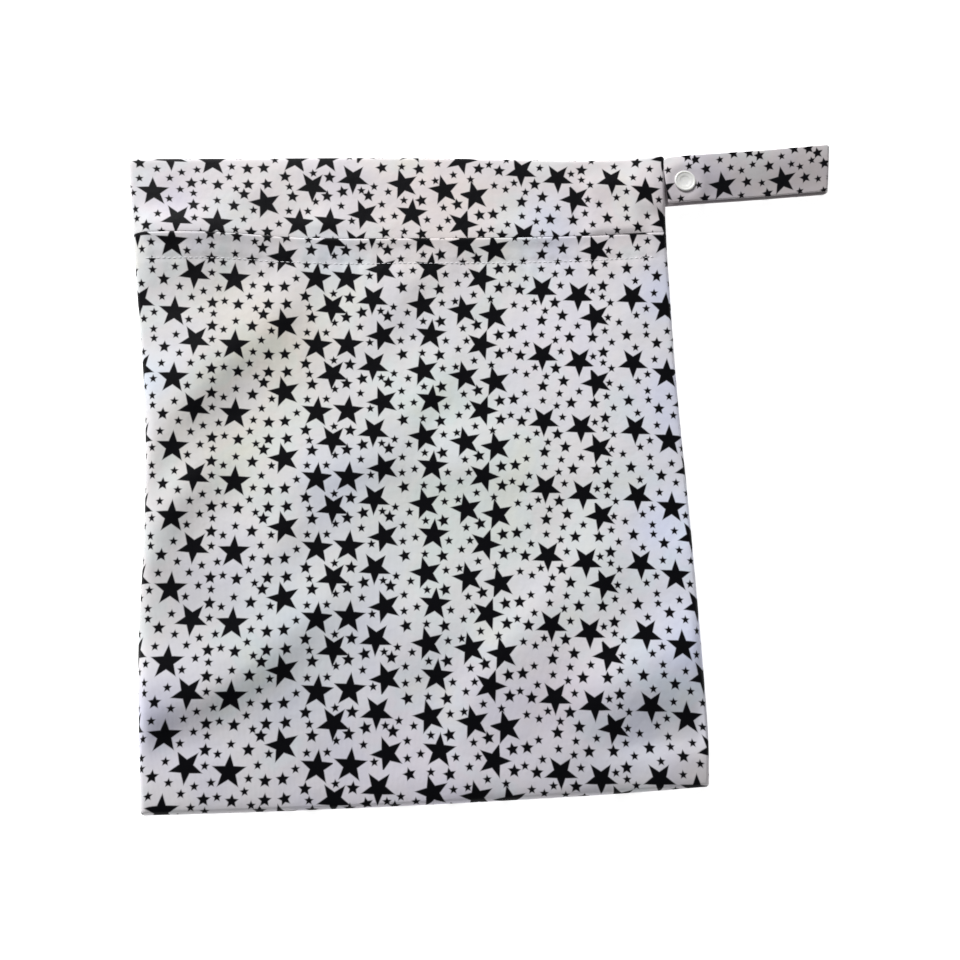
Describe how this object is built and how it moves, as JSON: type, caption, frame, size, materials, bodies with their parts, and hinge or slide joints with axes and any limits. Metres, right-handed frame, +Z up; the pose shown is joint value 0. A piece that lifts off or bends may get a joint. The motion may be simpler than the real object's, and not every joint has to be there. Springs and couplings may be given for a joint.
{
  "type": "cloth wet bag",
  "caption": "Flat zipped cloth bag with a star print, a flap hem over its zip and a short strap loop that closes with a press snap, for carrying wet things.",
  "frame": {"origin": "middle of the bag's underside, on the surface that it lies on", "axes": "+Z up out of the bag's front, +X towards the seam with the strap, +Y from the bottom seam to the top seam"},
  "size_m": [0.4084, 0.3673, 0.0128],
  "materials": {
    "print_cloth": "smooth laminated knit with a faint sheen, white with a black star print",
    "zip_tape": "woven tape, matte white",
    "zip_plastic": "moulded white",
    "snap_plastic": "milky white, polished"
  },
  "bodies": {
    "root": {"back_panel": "print_cloth", "front_panel": "print_cloth", "top_band": "print_cloth", "zip_tape_lower": "zip_tape", "zip_tape_upper": "zip_tape", "zip_coil": "zip_plastic", "zip_slider": "zip_plastic", "strap_loop": "print_cloth", "snap_cap": "snap_plastic", "snap_socket": "snap_plastic", "snap_stud": "snap_plastic", "snap_back_cap": "snap_plastic"}
  },
  "joints": []
}
